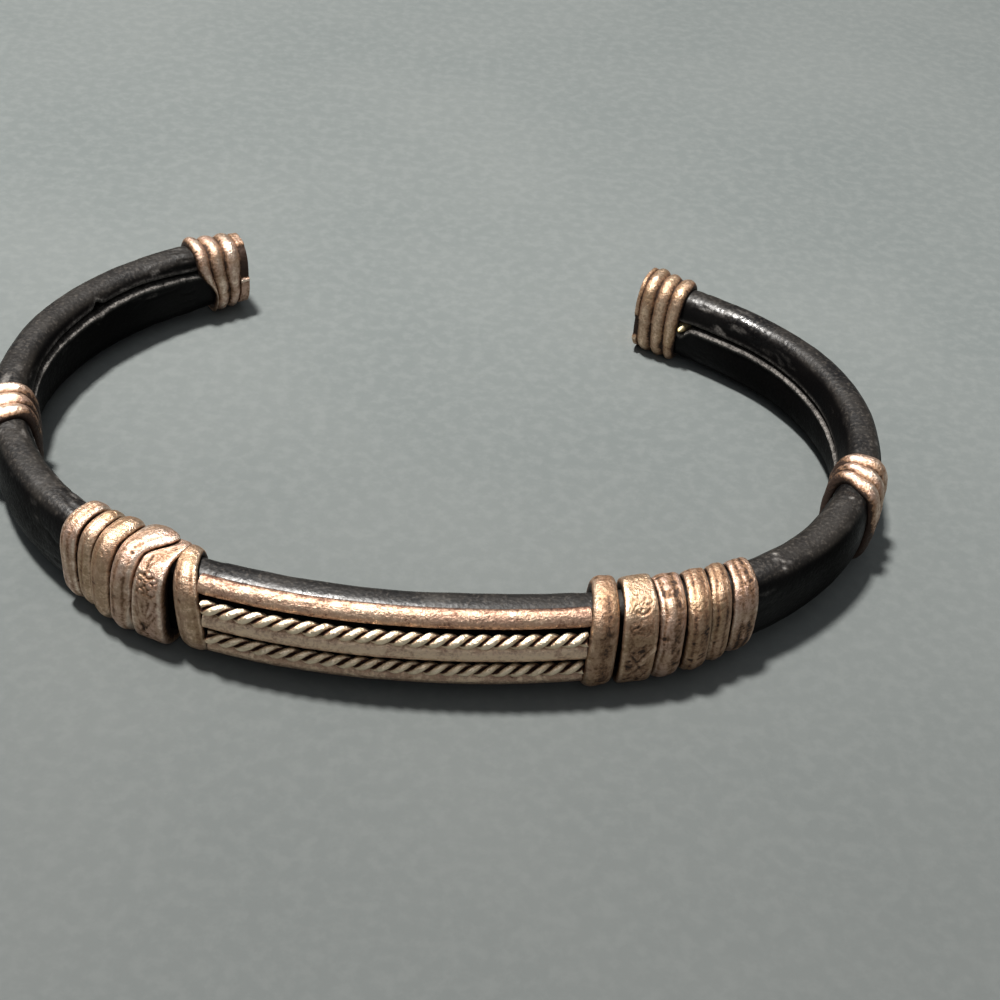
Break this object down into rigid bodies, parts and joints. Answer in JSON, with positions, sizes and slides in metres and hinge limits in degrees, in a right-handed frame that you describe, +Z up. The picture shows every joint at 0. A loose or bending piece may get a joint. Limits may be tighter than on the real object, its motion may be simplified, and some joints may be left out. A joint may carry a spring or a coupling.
{
  "type": "cuff bracelet",
  "caption": "Open cuff bracelet of black leather over a brass strip, with wire and rope panel, stamped bands, rings, ribbed collars and ribbed end caps.",
  "frame": {"origin": "under the middle of the bracelet's outer size, on the surface that it lies on", "axes": "+X to the wearer's side at the right of the front panel, across the bracelet's longest extent; +Y from the front panel to the open gap; +Z up, across the band's height"},
  "size_m": [0.066, 0.0464, 0.0078],
  "materials": {
    "leather": "black leather with a worn sheen",
    "brass_strip": "plain brass",
    "antique_bronze": "antique bronze, rubbed bright on the ridges and dark in the grooves",
    "bright_rope": "pale silvery metal, dark between the strands"
  },
  "bodies": {
    "root": {"leather_sleeve": "leather", "core_strip": "brass_strip", "wire_top": "antique_bronze", "rope_upper": "bright_rope", "wire_middle": "antique_bronze", "rope_lower": "bright_rope", "wire_bottom": "antique_bronze", "ring_left_panel": "antique_bronze", "band_left": "antique_bronze", "ring_left_4": "antique_bronze", "ring_left_3": "antique_bronze", "ring_left_2": "antique_bronze", "ring_left_1": "antique_bronze", "ring_right_panel": "antique_bronze", "band_right": "antique_bronze", "ring_right_a": "antique_bronze", "ring_right_b": "antique_bronze", "ring_right_c": "antique_bronze", "ring_right_d": "antique_bronze", "collar_left": "antique_bronze", "collar_right": "antique_bronze", "end_cap_left": "antique_bronze", "end_cap_right": "antique_bronze"}
  },
  "joints": []
}
